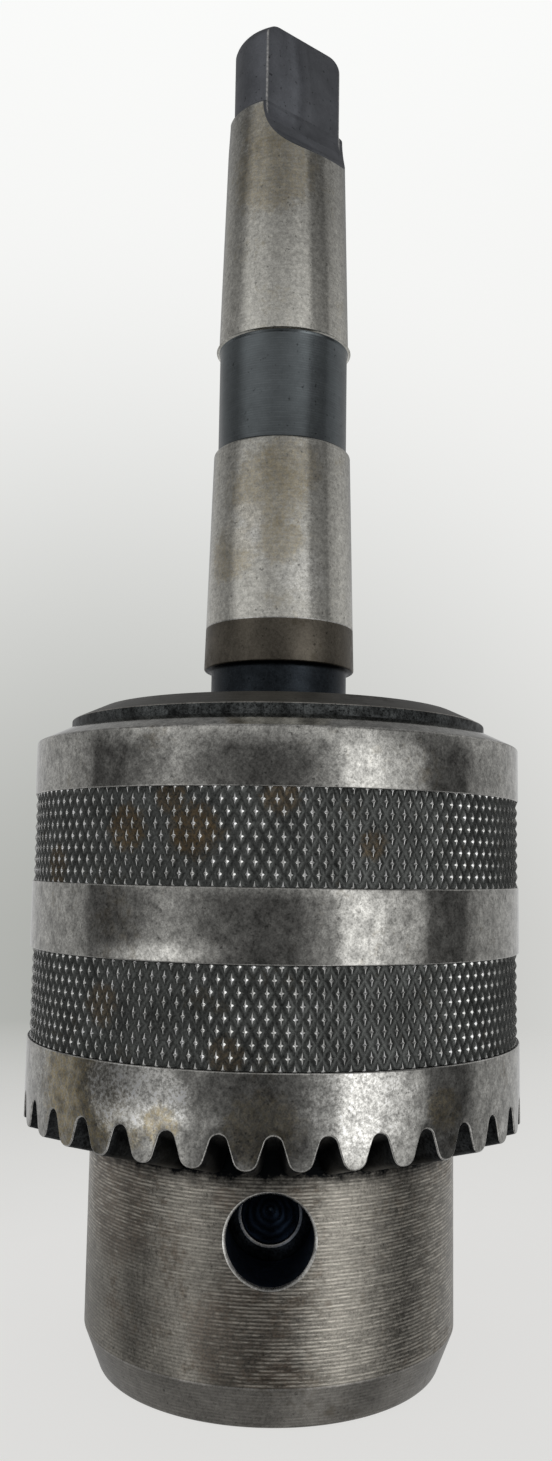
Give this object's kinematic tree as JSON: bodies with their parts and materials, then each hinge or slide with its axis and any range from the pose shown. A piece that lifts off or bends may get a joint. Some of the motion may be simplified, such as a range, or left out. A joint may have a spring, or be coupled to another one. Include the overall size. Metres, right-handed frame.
{
  "type": "drill chuck",
  "caption": "Keyed drill chuck on a tanged taper arbor: turning the toothed, knurled sleeve drives inclined jaws to grip a drill.",
  "frame": {"origin": "centre of the nose face", "axes": "+Z along the chuck's axis from the nose to the tang; -Y is the side with a key hole, 4 degrees towards +X"},
  "size_m": [0.0564, 0.0564, 0.158],
  "materials": {
    "body_steel": "turned steel, worn grey with light tool marks",
    "arbor_steel": "ground lands with stains, dark relief and tang",
    "sleeve_steel": "worn smooth bands and dark diamond knurl with traces of rust",
    "nut_steel": "dark oiled steel",
    "jaw_steel": "hardened and ground",
    "bearing_steel": "polished bearing steel",
    "cage_brass": "plain brass"
  },
  "bodies": {
    "body": {"chuck_body": "body_steel", "arbor": "arbor_steel", "body_race": "bearing_steel"},
    "sleeve": {"sleeve": "sleeve_steel", "nut_half_a": "nut_steel", "nut_half_b": "nut_steel", "nut_race": "bearing_steel"},
    "ball_ring": {"ball_cage": "cage_brass", "ball_01": "bearing_steel", "ball_02": "bearing_steel", "ball_03": "bearing_steel", "ball_04": "bearing_steel", "ball_05": "bearing_steel", "ball_06": "bearing_steel", "ball_07": "bearing_steel", "ball_08": "bearing_steel", "ball_09": "bearing_steel", "ball_10": "bearing_steel", "ball_11": "bearing_steel", "ball_12": "bearing_steel", "ball_13": "bearing_steel", "ball_14": "bearing_steel", "ball_15": "bearing_steel", "ball_16": "bearing_steel", "ball_17": "bearing_steel", "ball_18": "bearing_steel", "ball_19": "bearing_steel", "ball_20": "bearing_steel"},
    "jaw_1": {"jaw_1": "jaw_steel"},
    "jaw_2": {"jaw_2": "jaw_steel"},
    "jaw_3": {"jaw_3": "jaw_steel"}
  },
  "joints": [
    {"name": "sleeve_turn", "type": "hinge", "parent": "body", "child": "sleeve", "pos_m": [0, 0, 0.035], "axis": [0, 0, 1], "range_deg": [0, 4227]},
    {"name": "ball_ring_turn", "type": "hinge", "parent": "body", "child": "ball_ring", "pos_m": [0, 0, 0.044], "axis": [0, 0, 1], "range_deg": [0, 2115]},
    {"name": "jaw_1_slide", "type": "slide", "parent": "body", "child": "jaw_1", "axis": [-0.2328, 0.1131, -0.9659], "range_m": [0, 0.02936]},
    {"name": "jaw_2_slide", "type": "slide", "parent": "body", "child": "jaw_2", "axis": [0.0185, -0.2582, -0.9659], "range_m": [0, 0.02936]},
    {"name": "jaw_3_slide", "type": "slide", "parent": "body", "child": "jaw_3", "axis": [0.2143, 0.1451, -0.9659], "range_m": [0, 0.02936]}
  ],
  "couplings": [
    {"joint": "ball_ring_turn", "follows": "sleeve_turn", "ratio": 0.5},
    {"joint": "jaw_1_slide", "follows": "sleeve_turn", "m_per_rad": 0.00039789},
    {"joint": "jaw_2_slide", "follows": "sleeve_turn", "m_per_rad": 0.00039789},
    {"joint": "jaw_3_slide", "follows": "sleeve_turn", "m_per_rad": 0.00039789}
  ]
}
